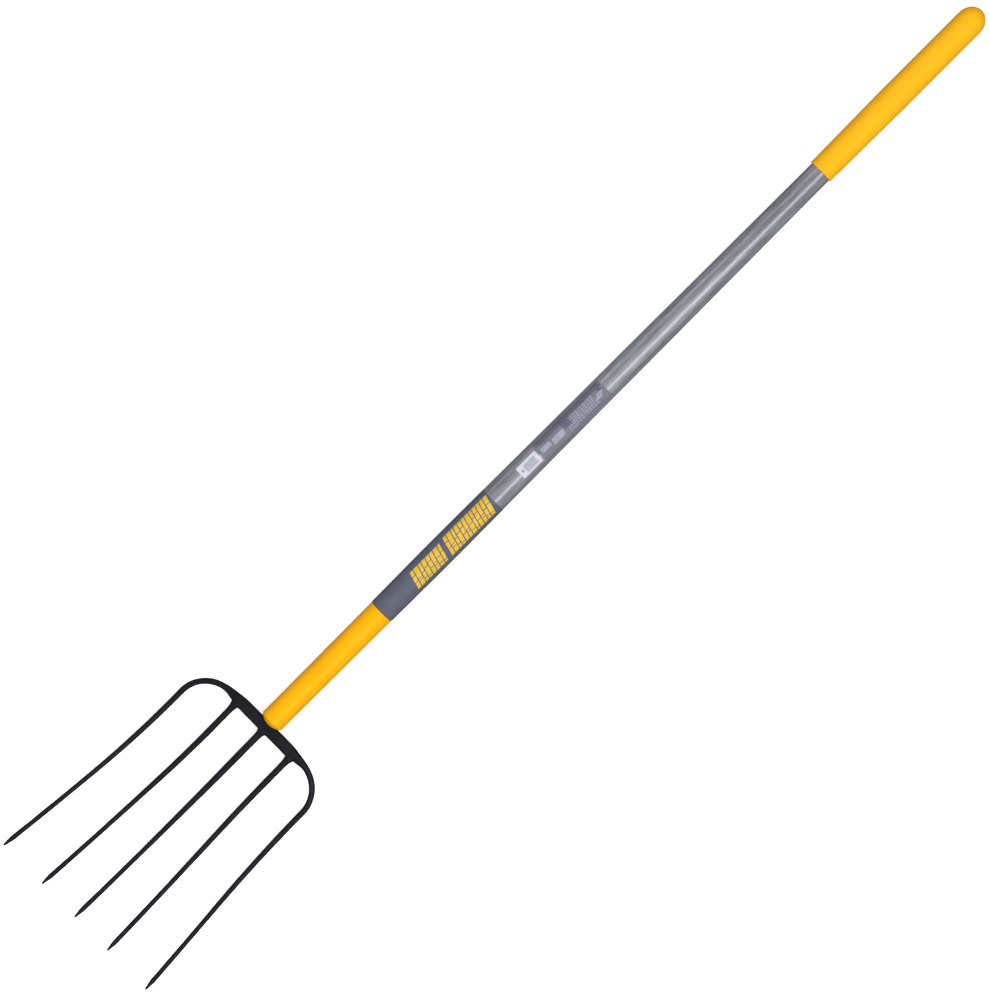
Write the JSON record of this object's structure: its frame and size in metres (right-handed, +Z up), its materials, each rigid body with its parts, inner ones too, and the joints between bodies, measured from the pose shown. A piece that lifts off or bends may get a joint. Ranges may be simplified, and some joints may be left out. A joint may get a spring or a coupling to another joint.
{
  "type": "manure fork",
  "caption": "Long-handled fork with slender curved pointed tines on a bow-shaped crossbar, a straight tapered wooden handle and a soft domed end grip.",
  "frame": {"origin": "on the floor under the middle of the fork's overall length, in its plane of symmetry", "axes": "+Y along the level handle from the tines towards the grip, +X to the right across the head, +Z up, out of the hollow side of the tines"},
  "size_m": [0.252, 1.566, 0.0523],
  "materials": {
    "head_black": "semi-gloss black coating on forged steel",
    "ferrule_yellow": "satin yellow powder coat",
    "pin_steel": "plain zinc-plated",
    "handle_grey": "grey stain under clear satin lacquer, fine grain along the handle",
    "grip_yellow": "matte soft vinyl foam",
    "name_film": "printed film",
    "label_white": "coated paper sticker",
    "info_film": "printed film"
  },
  "bodies": {
    "root": {"fork_head": "head_black", "ferrule": "ferrule_yellow", "ferrule_pin": "pin_steel", "handle": "handle_grey", "cushion_grip": "grip_yellow", "name_decal": "name_film", "price_label": "label_white", "info_decal": "info_film"}
  },
  "joints": []
}
